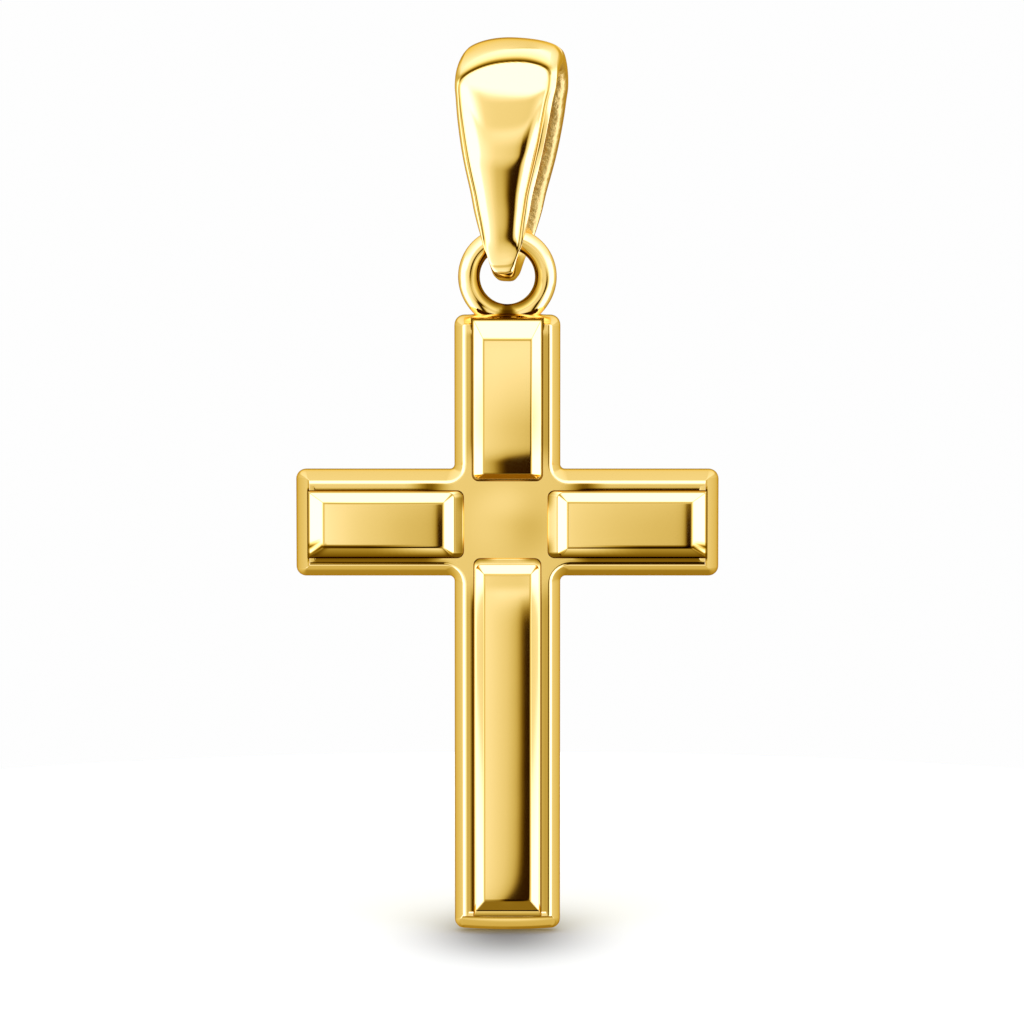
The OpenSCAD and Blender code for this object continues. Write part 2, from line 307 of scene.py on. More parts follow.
def rounded_loops(across, up, angle, bent, radius):
    """Closed loops through rounded corners: each corner is a quarter arc of its radius, tangent to
    its two edges, and ALONG points divide each straight edge at (1 - cos(pi k / n)) / 2, close near
    the corners. All inputs are (loops, corners)."""
    step = 90 * np.linspace(0, 1, ARC)[:, None, None]
    a = np.radians(np.where(bent > 0, angle + step, angle + 270 - step))
    diagonal = np.radians(angle + 45)
    side = np.stack([np.sign(np.cos(diagonal)), np.sign(np.sin(diagonal))], -1)
    middle = np.stack([across, up], -1) - np.where(bent > 0, 1, -1)[..., None] * side * radius[..., None]
    arcs = middle + radius[..., None] * np.stack([np.cos(a), np.sin(a)], -1)
    arcs = np.moveaxis(arcs, 0, 2)
    share = (1 - np.cos(np.pi * (np.arange(ALONG) + 1) / (ALONG + 1))) / 2
    first, last = arcs[:, :, -1:, :], np.roll(arcs, -1, 1)[:, :, :1, :]
    edges = first + (last - first) * share[None, None, :, None]
    return np.concatenate([arcs, edges], 2).reshape(len(across), -1, 2)


def plate_loops(edge_inset):
    """The outline moved inwards by each edge's own inset: outer arcs shrink, inner arcs grow."""
    k = np.arange(12)
    before = np.roll(edge_inset, 1, 1)
    across = np.where(k % 2 == 0, edge_inset, before)
    up = np.where(k % 2 == 0, before, edge_inset)
    shape = edge_inset.shape
    x, z, angle, bent = (np.broadcast_to(c, shape) for c in CORNERS.T)
    mean = (across + up) / 2
    radius = np.where(bent > 0, np.maximum(CORNER_R - mean, 0.015), NOTCH_R + 1.25 * mean)
    return rounded_loops(x - np.sign(x) * across, z - np.sign(z) * up, angle, bent, radius)


def shell(loops, caps):
    """Faces of stacked loops (rows, points, 3), closed at both ends by a fan round a point, and
    turned so that the volume they enclose counts as positive."""
    rows, n, _ = loops.shape
    points = np.concatenate([loops.reshape(-1, 3), np.asarray(caps, float).reshape(-1, 3)])
    i, j = np.meshgrid(np.arange(rows - 1), np.arange(n), indexing="ij")
    k = (j + 1) % n
    quads = np.stack([i * n + j, (i + 1) * n + j, (i + 1) * n + k, i * n + k], -1).reshape(-1, 4)
    j, k = np.arange(n), (np.arange(n) + 1) % n
    top = (rows - 1) * n
    fans = np.concatenate([np.stack([np.full(n, rows * n), j, k], 1),
                           np.stack([np.full(n, rows * n + 1), top + k, top + j], 1)])
    corner = points[np.concatenate([quads[:, :3], quads[:, [0, 2, 3]], fans])]
    volume = np.einsum("ij,ij->", corner[:, 0], np.cross(corner[:, 1], corner[:, 2]))
    if volume < 0:
        quads, fans = quads[:, ::-1], fans[:, ::-1]
    return points, quads, fans


def piece(name, shells, at, material):
    """One smooth mesh of several shells. Each shell is (points, quads, fans, shade), where the last
    says how much painted shade darkens each point, from 0 to 1."""
    starts = np.cumsum([0] + [len(part[0]) for part in shells[:-1]])
    points = np.concatenate([part[0] for part in shells]) + np.array(at)
    faces = [[k + int(start) for k in f]
             for part, start in zip(shells, starts) for f in [*part[1], *part[2]]]
    mesh = bpy.data.meshes.new(name)
    mesh.from_pydata(points * MM, [], faces)
    mesh.polygons.foreach_set("use_smooth", np.ones(len(mesh.polygons), bool))
    mesh.attributes.new("hollow", "FLOAT", "POINT").data.foreach_set(
        "value", np.concatenate([part[3] for part in shells]).astype(np.float32))
    mesh.materials.append(material)
    made = bpy.data.objects.new(name, mesh)
    bpy.context.scene.collection.objects.link(made)
    return made


# The gold: its colour and roughness; how many clouds in its polish, and waves from the buffing wheel, there
# are to a metre, and how high the waves are in metres; the share of light that the darkest painted shade
# takes, and the powers of what it leaves with which red, green and blue go
GOLD = (1.0, 0.738, 0.274)
ROUGHNESS = 0.07
CLOUDS = 900
WAVES = 350
WAVE_H = 0.000004
SHADE_TAKES = 0.97
SHADE_POWERS = (1.0, 1.28, 2.75)


def gold(name):
    """Polished gold: a metal whose polish varies in faint clouds, with painted shade and dark reflections
    laid into its colour from a per-point attribute, and long soft waves in its surface from the buffing
    wheel."""
    material = bpy.data.materials.new(name)
    material.use_nodes = True
    tree = material.node_tree
    face = tree.nodes["Principled BSDF"]
    face.inputs["Metallic"].default_value = 1.0
    face.inputs["Specular Tint"].default_value = (*GOLD, 1)
    place = tree.nodes.new("ShaderNodeTexCoord")
    place.name = "place"
    place = place.outputs["Object"]
    cloud = tree.nodes.new("ShaderNodeTexNoise")
    cloud.inputs["Scale"].default_value = CLOUDS
    cloud.inputs["Detail"].default_value = 4
    tree.links.new(place, cloud.inputs["Vector"])
    polish = tree.nodes.new("ShaderNodeMapRange")
    polish.inputs["To Min"].default_value = ROUGHNESS * 0.7
    polish.inputs["To Max"].default_value = ROUGHNESS * 1.3
    tree.links.new(cloud.outputs["Fac"], polish.inputs["Value"])
    tree.links.new(polish.outputs["Result"], face.inputs["Roughness"])
    # Painted shade: this attribute darkens the gold's colour where shade and dark reflections fall
    hollow = tree.nodes.new("ShaderNodeAttribute")
    hollow.attribute_name = "hollow"
    clear = math_node(tree, "MULTIPLY_ADD", hollow.outputs["Fac"], -SHADE_TAKES, 1.0)
    shaded_gold = tree.nodes.new("ShaderNodeCombineColor")
    for socket, level, power in zip(shaded_gold.inputs, GOLD, SHADE_POWERS):
        wire(tree, math_node(tree, "MULTIPLY", math_node(tree, "POWER", clear, power), level), socket)
    tree.links.new(shaded_gold.outputs[0], face.inputs["Base Color"])
    wave = tree.nodes.new("ShaderNodeTexNoise")
    wave.inputs["Scale"].default_value = WAVES
    wave.inputs["Detail"].default_value = 1
    tree.links.new(place, wave.inputs["Vector"])
    relief = tree.nodes.new("ShaderNodeBump")
    relief.name = "relief"
    relief.inputs["Strength"].default_value = 1.0
    relief.inputs["Distance"].default_value = 1.0
    tree.links.new(math_node(tree, "MULTIPLY", wave.outputs["Fac"], WAVE_H), relief.inputs["Height"])
    tree.links.new(relief.outputs["Normal"], face.inputs["Normal"])
    return material


def reach_of(points):
    """How far a point lies along its arm from the crossing, and how far the arm's end is."""
    x, z = points[..., 0], points[..., 1]
    flat = np.abs(x) > np.abs(z)
    return np.where(flat, np.abs(x), np.abs(z)), np.where(flat, HALF_SPAN, np.where(z > 0, HEAD, FOOT))


# The section from the back to under the bars, row by row: eased back edge, upright side, sloping
# band, crest and channel
back_turn = np.radians(np.linspace(90, 0, 7))
crest_turn = np.radians(np.linspace(BAND_TURNS[1], CREST_END, 12)[1:])
channel_share = np.array([0.12, 0.25, 0.45, 0.7, 0.88, 1.0])
# How far inside the outline the rows under the bars lie
under = np.array([0.72, 0.8, 0.95, 1.15, 1.35, 1.55, 1.68, 1.77])
arc_turn = np.radians(np.linspace(90, BAND_TURNS[0], 7))
arc_r = BAND_ARC / (1 - np.sin(arc_turn[-1]))
line = np.linspace(0, 1, BEND_STEPS + 1)[1:]
turns = np.radians(BAND_TURNS[0] + (BAND_TURNS[1] - BAND_TURNS[0]) * line)
band_share = np.append(arc_r * (1 - np.sin(arc_turn)), BAND_ARC + (1 - BAND_ARC) * line)
fall = np.append(arc_r * np.diff(np.cos(arc_turn)), np.tan(turns) * (1 - BAND_ARC) / BEND_STEPS)
band_depth = np.append(np.cumsum(fall[::-1])[::-1], 0)
band_depth = CREST_D + band_depth[:, None] * np.minimum(BAND, (BAND_DEEPEST - CREST_D) / band_depth[0])
crest_run = CREST_R * (math.sin(math.radians(BAND_TURNS[1])) - np.sin(crest_turn))
crest_depth = CREST_R * (1 - np.cos(crest_turn))
crest_edge = BAND + crest_run[-1]
back_inset = np.append(BACK_R + 0.2, BACK_R * (1 - np.cos(back_turn)))
back_depth = 2 * HALF_T - BACK_R * (1 - np.sin(back_turn))
back_depth = np.append(back_depth[:1], back_depth)
inset = np.concatenate([
    np.repeat(back_inset[:, None], 12, 1),
    band_share[:, None] * BAND,
    BAND + crest_run[:, None] * (1 - 0.8 * AT_END),
    crest_edge + channel_share[:, None] * (CHANNEL_END - crest_edge),
    np.repeat(under[:, None], 12, 1)])
n_back, n_band = len(back_inset), len(band_share)
n_crest, n_channel = len(crest_turn), len(channel_share)
inset[n_back:] = np.maximum.accumulate(inset[n_back:], 0)
loops = plate_loops(inset)
depth = np.concatenate([
    np.repeat(back_depth[:, None], 12, 1), band_depth,
    np.repeat(crest_depth[:, None], 12, 1), np.zeros((n_channel + len(under), 12))])
# Each edge has its own depth, and round a corner it passes from one edge's to the next one's
bend = np.append(np.linspace(0, 1, ARC), np.ones(ALONG))
depth = (np.roll(depth, 1, 1)[..., None] * (1 - bend) + depth[..., None] * bend).reshape(len(depth), -1)
dip = np.concatenate([
    np.zeros(n_back + n_band), np.linspace(0, 0.25, n_crest) ** 2,
    np.interp(channel_share, [0, 0.45, 0.88, 1], [0.1, 0.3, 0.9, 1.0]),
    np.interp(under, [0.7, 1.2], [1, 0])]) * CHANNEL_D
crest_out = np.concatenate([
    np.zeros(n_back + n_band + n_crest), np.interp(channel_share, [0, 0.3], [1, 0]),
    np.zeros(len(under))]) * crest_depth[-1]
along, end = reach_of(loops)
fade = smooth((along - CHANNEL_FROM) / CHANNEL_EASE) * smooth((end - CHANNEL_STOP - along) / STOP_EASE)
plate_y = -HALF_T + depth + crest_out[:, None] + dip[:, None] * fade
# Shade is painted in the channels: along the bar's foot everywhere, across them by each edge's own share,
# and on top of the arms beside the crossing
line_shade = np.concatenate([
    np.zeros(n_back + n_band + n_crest), np.interp(channel_share, [0.75, 0.9, 1], [0, 0.6, 1]),
    np.interp(under, [0.9, 1.2], [1, 0])])
bed_shade = np.concatenate([
    np.zeros(n_back + n_band), smooth((0.38 - crest_turn) / 0.24), np.ones(n_channel),
    np.interp(under, [0.9, 1.2], [1, 0])])
edge_shade = (np.roll(EDGE_SHADE, 1)[:, None] * (1 - bend) + EDGE_SHADE[:, None] * bend).ravel()
on_arms = (np.abs(loops[..., 0]) > np.abs(loops[..., 1])) & (loops[..., 1] > 0)
bed = np.maximum(edge_shade, on_arms * smooth((3.5 - along) / 1.1))
plate_shade = np.maximum(line_shade[:, None], bed_shade[:, None] * bed) * fade
# At an arm's end the whole channel under the band is painted dark as shade
at_bar = np.concatenate([
    np.zeros(n_back), np.interp(band_share, [0.9, 0.96], [0, 0.9]), np.ones(n_crest + n_channel),
    np.interp(under, [0.9, 1.2], [1, 0])])
plate_shade = np.maximum(plate_shade, at_bar[:, None] * (end - 0.47 < along) * (np.abs(loops).min(-1) < 1.25))
bow = FOOT_BOW * (1 - (loops[..., 0] / HALF_ARM) ** 2)
bow = bow * smooth((-loops[..., 1] - FOOT + BOW_FROM) / BOW_FROM)
solder = smooth((loops[..., 1] - HEAD + SOLDER_IN) / SOLDER_EASE)
solder = solder * np.exp(-(loops[..., 0] / SOLDER_HALF) ** 6)
plate_points = np.stack([loops[..., 0], plate_y, loops[..., 1] - bow + SOLDER_RISE * solder], -1)
# Shade is painted darkest on the solder under the ring
under_ring = np.exp(-(loops[..., 0] / 0.36) ** 4) * solder
plate_shade = np.maximum(plate_shade, 0.85 * under_ring)
plate = shell(plate_points, [[0, HALF_T, 0], [0, plate_y[-1].min(), 0]])
shells = [(*plate, np.concatenate([plate_shade.ravel(), [0, 0]]))]

# The bars, as rows of: angle, foot nearest the crossing, foot at the end, half width, then the
# shoulder next to the crossing, where the flat starts from each side (near, side, end), how wide and
# high the shoulder at the end is, and how high it is at its foot
BARS = [
    (90, 1.50, 6.96, 1.18, 0.05, 0.25, 0.366, 0.657, 0.04, 0.06, 0.045),
    (180, 1.51, 6.76, 1.13, 0.30, 0.663, 0.373, 0.53, 0.04, 0.11, 0.045),
    (0, 1.40, 6.76, 1.13, 0.30, 0.644, 0.353, 0.507, 0.04, 0.11, 0.045),
    (270, 1.19, 13.44, 1.125, 0.18, 0.494, 0.338, 0.578, 0.20, 0.145, 0.15)]
# How the buffed flats curve, in degrees and mm: slope at the end near the crossing and the length
# it fades over, the same at the far end, the slope at the left and right edges, and how much lower
# the near end lies
CURVES = [(9.5, 0.9, 2.5, 2.6, 2.9, 1.3, 0.03), (9.0, 0.12, 10.1, 1.15, 0.8, 0.8, 0),
          (4.0, 1.0, 8.5, 0.13, 0.8, 0.8, 0), (9.0, 0.8, 2.0, 0.5, 5.3, 5.3, 0)]
# How high a bar stands and its wall is, how much a shoulder rises for each mm of its width, the radius of
# the corners next to the crossing at the wall's foot, the bevel's foot, a little above it and the flat,
# and the radius of the corners at the end
BAR_RISE = 0.34
BAR_WALL = 0.045
SHOULDER_SLOPE = 0.21
NEAR_CORNERS = [0.24, 0.2, 0.06, 0.03]
END_CORNER = 0.03


def eased(points, reach):
    """A line of straight pieces with its inner corners rounded: each corner becomes a curve from
    reach before it to reach after it, with a point further out that keeps its neighbours flat."""
    before, corner, after = points[:-2], points[1:-1], points[2:]
    to_before = (before - corner) / np.linalg.norm(before - corner, axis=1, keepdims=True)
    to_after = (after - corner) / np.linalg.norm(after - corner, axis=1, keepdims=True)
    t = np.linspace(0, 1, 5)[None, :, None]
    r = np.asarray(reach)[:, None, None]
    start = corner[:, None] + to_before[:, None] * r
    stop = corner[:, None] + to_after[:, None] * r
    bend = (1 - t) ** 2 * start + 2 * t * (1 - t) * corner[:, None] + t ** 2 * stop
    rows = np.concatenate([corner[:, None] + 1.8 * to_before[:, None] * r, bend,
                           corner[:, None] + 1.8 * to_after[:, None] * r], 1)
    return np.concatenate([points[:1], rows.reshape(-1, points.shape[1]), points[-1:]])


def bar(angle, foot_in, foot_out, half, shoulder, near, side, far_in, far_wide, far_high, far_foot,
        curve):
    """One bar: loops round it from its root in the plate, up its wall, shoulder and bevels, and over
    its flat. Along the bar the flat sinks by slope · fade · exp(-distance / fade) from each end, and
    across it by slope · v² / (2 · half width). Straight lines are taken off, so that the ends and on
    the whole the edges keep the height at which the bevels end."""
    lift = BAR_WALL + SHOULDER_SLOPE * shoulder
    # The section's corners, from its root on: how far inside the foot they lie at the near end, at the
    # sides and at the far end, and their height, along the bar and at its far end
    section = eased(np.array([
        [-0.08, -0.07, -0.06, -0.25, -0.25],
        [-0.06, -0.05, -0.03, -0.03, -0.03],
        [0.0, 0.0, 0.0, BAR_WALL, far_foot],
        [shoulder, 0.045, far_wide, lift, far_high],
        [near, side, far_in, BAR_RISE, BAR_RISE],
        [near + 0.08, side + 0.08, far_in + 0.08, BAR_RISE, BAR_RISE]]), [0.02, 0.02, 0.035, 0.055])
    mid = (foot_in + near + foot_out - far_in) / 2
    half_u = (foot_out - far_in - foot_in - near) / 2
    low_u, high_u = foot_in + section[:, 0], foot_out - section[:, 2]
    half_v, height, far_height = half - section[:, 1], section[:, 3], section[:, 4]
    flat_half = half - side
    near_r = np.interp(height, [0, lift, lift + 0.05, BAR_RISE], NEAR_CORNERS)
    near_r = np.minimum(near_r, half_v * 0.5)
    end_r = np.minimum(END_CORNER, near_r)
    r = np.stack([near_r, end_r, end_r, near_r], 1)
    u = np.stack([low_u, high_u, high_u, low_u], 1)
    v = np.stack([-half_v, -half_v, half_v, half_v], 1)
    turn4 = np.broadcast_to([180, 270, 0, 90], u.shape)
    loop = rounded_loops(u, v, turn4, np.ones(u.shape), r)
    # A grid fills the flat: its lines continue the edge points of the last loop
    n, step = loop.shape[1], ARC + ALONG
    grid_u, grid_v = np.meshgrid(loop[-1, ARC:step, 0], loop[-1, step + ARC:2 * step, 1], indexing="ij")
    all_u, all_v = np.append(loop[..., 0], grid_u), np.append(loop[..., 1], grid_v)
    flat_rise = np.full(grid_u.size, BAR_RISE)
    rise = np.append(np.repeat(height, n), flat_rise)
    far_rise = np.append(np.repeat(far_height, n), flat_rise)
    slope_in, fade_in, slope_out, fade_out, slope_left, slope_right, lower = curve
    cos_a = round(math.cos(math.radians(angle)))
    sin_a = round(math.sin(math.radians(angle)))
    from_in, from_out = all_u - foot_in - near, foot_out - far_in - all_u
    place_v = all_v / flat_half
    rightwards = place_v * (-1 if sin_a > 0 or cos_a < 0 else 1)
    slope = np.radians(np.where(rightwards > 0, slope_right, slope_left))
    dips = np.radians([slope_in, slope_out]) * [fade_in, fade_out]
    ends = dips + dips[::-1] * np.exp(-2 * half_u / np.array([fade_out, fade_in]))
    share_u = from_in / (2 * half_u)
    sink = (dips[0] * np.exp(-np.maximum(from_in, -0.02) / fade_in) - (ends[0] - lower) * (1 - share_u)
            + dips[1] * np.exp(-np.maximum(from_out, -0.02) / fade_out) - ends[1] * share_u
            + (slope * place_v ** 2 - math.radians(slope_left + slope_right) / 2) * flat_half / 2)
    at_far = smooth((loop[..., 0] - high_u[:, None] + near_r[:, None]) / (near_r[:, None] + 1e-6))
    at_far = np.append(at_far, np.zeros(flat_rise.size))
    top = smooth((rise - lift) / (BAR_RISE - lift))
    y_bar = -HALF_T - rise * (1 - at_far) - far_rise * at_far + sink * top
    place = np.stack([all_u * cos_a - all_v * sin_a, y_bar, all_u * sin_a + all_v * cos_a], -1)
    points, quads, fans = shell(place[:loop[..., 0].size].reshape(-1, n, 3),
                                [[cos_a * mid, -HALF_T + 0.25, sin_a * mid], [0, 0, 0]])
    last, start = len(points) - 2 - n, len(points) - 1
    points = np.concatenate([points[:-1], place[loop[..., 0].size:]])
    grid = start + np.arange(ALONG ** 2).reshape(ALONG, ALONG)
    tiles = [np.stack([grid[:-1, :-1], grid[1:, :-1], grid[1:, 1:], grid[:-1, 1:]], -1).reshape(-1, 4)]
    corners = []
    for k, rim in enumerate([grid[:, 0], grid[-1], grid[::-1, -1], grid[0, ::-1]]):
        edge = last + k * step + ARC + np.arange(ALONG)
        tiles.append(np.stack([edge[:-1], edge[1:], rim[1:], rim[:-1]], 1))
        before = last + (k * step - 1) % n
        corners.append([before, *range(last + k * step, last + k * step + ARC + 1), rim[0]])
    flat = [*np.concatenate(tiles).tolist(), *corners]
    face = points[flat[0]]
    if np.cross(face[1] - face[0], face[2] - face[0])[1] > 0:
        flat = [f[::-1] for f in flat]
    fans = [*fans[:n].tolist(), *flat]
    # Shade is painted at the foot of the wall, less at the end near the crossing, and dark lines of painted
    # reflection in the folds between the faces and on the mitres of the bevel. The section's corners have
    # seven rows each, so the middle of the shoulder's is row 18 and of the flat's edge row 25
    at_wall = np.interp(height, [0.0, BAR_WALL, BAR_WALL + 0.02], [1, 0.8, 0])[:, None]
    near_end = (loop[..., 0] < foot_in + 0.05) & (np.abs(loop[..., 1]) < half)
    at_wall = at_wall * np.where(near_end, 0.25 + 0.75 * smooth((np.abs(loop[..., 1]) - 0.3) / 0.6), 1)
    mid_shoulder, mid_edge = 18, 25
    fold = np.zeros(len(height))
    fold[mid_shoulder - 1:mid_shoulder + 2] = np.array([0.4, 0.7, 0.4]) * (shoulder > 0.1)
    fold[mid_edge - 2:mid_edge + 3] = [0.2, 0.45, 0.6, 0.45, 0.2]
    round_corner = 0.7 * np.exp(-((np.arange(ARC) - ARC // 2) / 1.2) ** 2)
    mitre = np.tile(np.concatenate([round_corner, np.zeros(ALONG)]), 4)
    row = np.arange(len(height))
    on_bevel = (row > mid_shoulder) & (row < mid_edge)
    # On the arms more shade is painted at the foot of the lower bevel, and a painted dark line along its
    # upper edge far out
    below = -loop[..., 1] * cos_a
    low_foot = 0.85 * smooth((below - half + 0.19) / 0.05)
    far_out = smooth((loop[..., 0] - foot_in - 0.8) / 2.5)
    low_edge = far_out * np.exp(-((below - flat_half + 0.02) / 0.085) ** 2) * (cos_a != 0)
    bar_shade = np.maximum(np.maximum(at_wall, fold[:, None]), on_bevel[:, None] * mitre)
    bar_shade = np.maximum(bar_shade, np.maximum(low_foot, low_edge))
    return points, quads, fans, np.append(bar_shade.ravel(), np.zeros(len(points) - bar_shade.size))


shells += [bar(*row, curve) for row, curve in zip(BARS, CURVES)]

# The ring is bent from round wire, let into the head and soldered on both sides
RING_R = 1.305
WIRE_R = 0.37
RING_Z = 8.385
# How much solder widens the wire at its lowest point, how much of its thickness is filed away there, and
# over how many degrees each fades
FLARE = 0.35
FILED = 0.6
FLARE_OVER = 32
RING_STEPS = 96
WIRE_STEPS = 32
turn_ring = np.linspace(0, 2 * np.pi, RING_STEPS + 1)[:-1]
turn_wire = np.linspace(0, 2 * np.pi, WIRE_STEPS + 1)[:-1]
round_ring, round_wire = np.meshgrid(turn_ring, turn_wire, indexing="ij")
# The angle from the ring's lowest point, from -180 to 180 degrees
from_low = (np.degrees(round_ring) - 270 + 180) % 360 - 180
low = np.exp(-(from_low / FLARE_OVER) ** 2)
flare = 1 + FLARE * low * (np.cos(round_wire) > 0) * np.cos(round_wire)
out = RING_R + WIRE_R * np.cos(round_wire) * flare
thick = WIRE_R * (1 - FILED * low)
ring_points = np.stack([out * np.cos(round_ring), thick * np.sin(round_wire),
                        RING_Z + out * np.sin(round_ring)], -1)
i, j = np.meshgrid(np.arange(RING_STEPS), np.arange(WIRE_STEPS), indexing="ij")
next_i, next_j = (i + 1) % RING_STEPS, (j + 1) % WIRE_STEPS
ring_quads = np.stack([i * WIRE_STEPS + j, next_i * WIRE_STEPS + j, next_i * WIRE_STEPS + next_j,
                       i * WIRE_STEPS + next_j], -1).reshape(-1, 4)
# Shade is painted on the ring's inner side and round the solder
ring_shade = np.maximum(0.85 * smooth((-np.cos(round_wire) + 0.1) / 0.95),
                        0.95 * np.exp(-(from_low / 15) ** 4))
shells.append((ring_points.reshape(-1, 3), ring_quads, np.zeros((0, 3), int), ring_shade.ravel()))

yellow_gold = gold("yellow_gold")
# The plateau at the crossing swells by SWELL (1 - r²/R²)³, too little to be felt, though the light shows
# it. R is SWELL_R
SWELL = 0.024
SWELL_R = 1.75
cross_tree = yellow_gold.node_tree
from_crossing = cross_tree.nodes.new("ShaderNodeVectorMath")
from_crossing.operation = "SUBTRACT"
from_crossing.inputs[1].default_value = [c * MM for c in CROSS_AT]
cross_tree.links.new(cross_tree.nodes["place"].outputs["Object"], from_crossing.inputs[0])
sideways = cross_tree.nodes.new("ShaderNodeVectorMath")
sideways.operation = "MULTIPLY"
sideways.inputs[1].default_value = (1 / SWELL_R / MM, 0, 1 / SWELL_R / MM)
cross_tree.links.new(from_crossing.outputs[0], sideways.inputs[0])
squared_off = cross_tree.nodes.new("ShaderNodeVectorMath")
squared_off.operation = "DOT_PRODUCT"
cross_tree.links.new(sideways.outputs[0], squared_off.inputs[0])
cross_tree.links.new(sideways.outputs[0], squared_off.inputs[1])
within = math_node(cross_tree, "SUBTRACT", 1.0, squared_off.outputs["Value"])
within = math_node(cross_tree, "MAXIMUM", within, 0.0)
swell = math_node(cross_tree, "MULTIPLY", math_node(cross_tree, "POWER", within, 3.0), SWELL * MM)
cross_relief = cross_tree.nodes["relief"].inputs["Height"]
swollen = math_node(cross_tree, "ADD", cross_relief.links[0].from_socket, swell)
cross_tree.links.new(swollen, cross_relief)
cross = piece("cross_casting", shells, CROSS_AT, yellow_gold)
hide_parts("cross")
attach(cross, "cross")


# The bail.
# A tapered loop cast in one piece, open at both sides. The ring hangs in its narrow tip and a chain
# runs through its top. Outside it is polished; inside it keeps the skin of the casting.

# How far it is turned about its height and leans to the side, in degrees. Then its height; where its tip,
# the chain's seat and the crown lie, from the middle of the ring's wire; half the opening's depth at the
# wire and at its widest; half the whole depth; the width at the tip and at the shoulders; and how far
# forward the opening lies half way up
BAIL_TURN = 12.5
BAIL_LEAN = 1.7
BAIL_H = 8.26
TIP_Z = -1.47
SEAT_Z = 5.81
CROWN_Z = 6.79
SEAT_HALF = 0.65
SLOT_HALF = 0.86
BAIL_HALF = 1.6
TIP_W = 0.86
BAIL_W = 3.44
SLOT_SHIFT = 0.12
# The tip's arch ends here. Above it the leaf goes through these points, as shares: height between wire
# and seat, half outer depth, opening's widening. Then come the arches of the crown and the seat
TIP_TOP = -0.37
LEAF = np.array([[0.05, 0.64, 0.05], [0.14, 0.79, 0.22], [0.26, 0.91, 0.58], [0.38, 0.975, 0.88],
                 [0.50, 1.0, 1.0], [0.62, 1.0, 0.86], [0.73, 0.99, 0.56]])
# Half the depth of the tip's and the crown's arch as shares of half the whole depth, and of the seat's as a
# share of half the opening's. Then, as shares of the seat's height, where the crown's and the seat's arch
# start and how high the seat's is, and how far the opening's tip reaches down
TIP_SHARE = 0.53
CROWN_SHARE = 0.98
SEAT_SHARE = 0.66
CROWN_AT = 0.81
SEAT_AT = 0.84
SEAT_ARCH = 0.16
INNER_TIP = 0.42
# How square a section's outer and inner face are at these heights, as powers: 1 is round and 0 is square
OUTER_POWER = [0, 0.2, 0.4, 1], [0.62, 0.7, 0.62, 0.44]
INNER_POWER = [0, 0.25, 0.45, 1], [1, 0.98, 0.5, 0.4]
# Widening from the tip to the shoulders, by height as a share of the whole
WIDENING = np.array([[0, 0], [0.05, 0.03], [0.1, 0.11], [0.13, 0.18], [0.2, 0.28], [0.29, 0.41], [0.37, 0.5],
                     [0.49, 0.675], [0.6, 0.81], [0.74, 0.945], [0.82, 1], [1, 1]])
# How many points a curve has from one given point to the next, and over how many the evening reaches
BETWEEN = 14
EVEN = 52
# The panel on the front: width of the border beside it and its fall outwards in degrees, how far below
# the top its arch begins in the middle, how much lower at the sides and how much it tilts
BORDER = 0.25
BORDER_FALL = 18.0
ARCH = 1.55
ARCH_FALL = 0.28
ARCH_TILT = 0.36
# The groove round it: depth, width, and the sample it follows, as a share of the half width
GROOVE_D = 0.035
GROOVE_R = 0.045
GROOVE_AT = 0.84
# The panel's slope adds up to a bulge, by a and b in degrees. It stands out as a (1 - |s|³) to the left
# of the middle and as a - b s² - (a - b) s⁸ to the right, s being the share of the half width, less this
# share of a. Then the slope of the whole front to the right in degrees, and where it crosses zero
BULGE = (13.0, 2.5)
BULGE_SUNK = 0.65
SLOPE = 10.0
SLOPE_AT = -0.25
# At the tip a ledge crosses the front, with a bead under it: place, depth and width of the ledge, and how
# far below it the bead lies, its height and its width
LEDGE_Z = -0.96
LEDGE_D = 0.02
LEDGE_R = 0.035
BEAD_BELOW = 0.17
BEAD_H = 0.025
BEAD_R = 0.1


def flowing(points, between):
    """A smooth line through the points: between two of them it is the cubic whose slopes are those
    of the lines that join each point's two neighbours."""
    p = np.concatenate([2 * points[:1] - points[1:2], points, 2 * points[-1:] - points[-2:-1]])
    t = (np.arange(between) / between)[None, :, None]
    a, b, c, d = p[:-3, None], p[1:-2, None], p[2:-1, None], p[3:, None]
    rows = 0.5 * (2 * b + (c - a) * t + (2 * a - 5 * b + 4 * c - d) * t ** 2
                  + (3 * b - a - 3 * c + d) * t ** 3)
    return np.concatenate([rows.reshape(-1, points.shape[1]), points[-1:]])


def powered(x, power):
    """x to that power, with its sign kept."""
    return np.sign(x) * np.abs(x) ** power


tip = np.radians([-90, -60, -30, 0])
crown = np.radians([0, 18, 36, 54, 72, 90])
crown_from = CROWN_AT * SEAT_Z
outer_line = flowing(np.concatenate([
    np.stack([TIP_SHARE * BAIL_HALF * np.cos(tip), TIP_TOP + (TIP_TOP - TIP_Z) * np.sin(tip)], 1),
    LEAF[:, [1, 0]] * [BAIL_HALF, SEAT_Z],
    np.stack([CROWN_SHARE * BAIL_HALF * np.cos(crown),
              crown_from + (CROWN_Z - crown_from) * np.sin(crown)], 1)]),
    BETWEEN)
inner_line = flowing(np.concatenate([
    np.stack([SEAT_HALF * np.cos(tip), INNER_TIP * np.sin(tip)], 1),
    np.stack([SEAT_HALF + LEAF[:, 2] * (SLOT_HALF - SEAT_HALF), LEAF[:, 0] * SEAT_Z], 1),
    np.stack([SEAT_SHARE * SLOT_HALF * np.cos(crown),
              SEAT_AT * SEAT_Z + SEAT_ARCH * SEAT_Z * np.sin(crown)], 1)]),
    BETWEEN)
